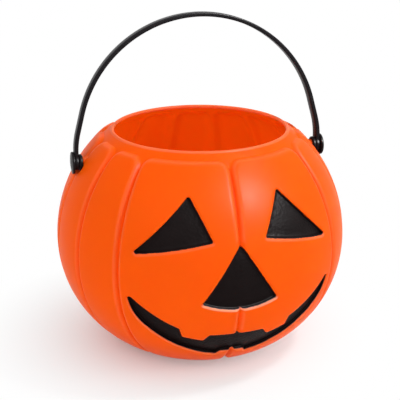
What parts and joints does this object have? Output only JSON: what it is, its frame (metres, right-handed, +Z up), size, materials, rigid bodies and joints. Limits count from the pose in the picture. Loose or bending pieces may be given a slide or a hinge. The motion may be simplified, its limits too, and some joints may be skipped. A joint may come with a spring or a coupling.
{
  "type": "pumpkin candy pail",
  "caption": "Hollow lobed pumpkin pail with a sunk jack-o'-lantern face, an open top and a flat strap handle that swings on two side pivots, for carrying sweets.",
  "frame": {"origin": "middle of the base, on the surface the pail stands on", "axes": "+Z up along the pail's axis, the face looks to -Y, the handle's pivots lie along X"},
  "size_m": [0.216, 0.2149, 0.2478],
  "materials": {
    "orange_plastic": "satin, moulded polyethylene",
    "black_paint": "satin sprayed paint",
    "black_plastic": "satin, moulded polypropylene",
    "washer_plastic": "satin"
  },
  "bodies": {
    "pail": {"pail_shell": "orange_plastic", "left_eye_paint": "black_paint", "right_eye_paint": "black_paint", "nose_paint": "black_paint", "mouth_paint": "black_paint", "pivot_button_left": "black_plastic", "pivot_button_right": "black_plastic", "spacer_collar_left": "black_plastic", "spacer_collar_right": "black_plastic", "retaining_washer_left": "washer_plastic", "retaining_washer_right": "washer_plastic"},
    "handle": {"carry_handle": "black_plastic"}
  },
  "joints": [
    {"name": "handle_swing", "type": "hinge", "parent": "pail", "child": "handle", "pos_m": [0, 0, 0.144], "axis": [1, 0, 0], "range_deg": [-87.5, 92.5]}
  ]
}
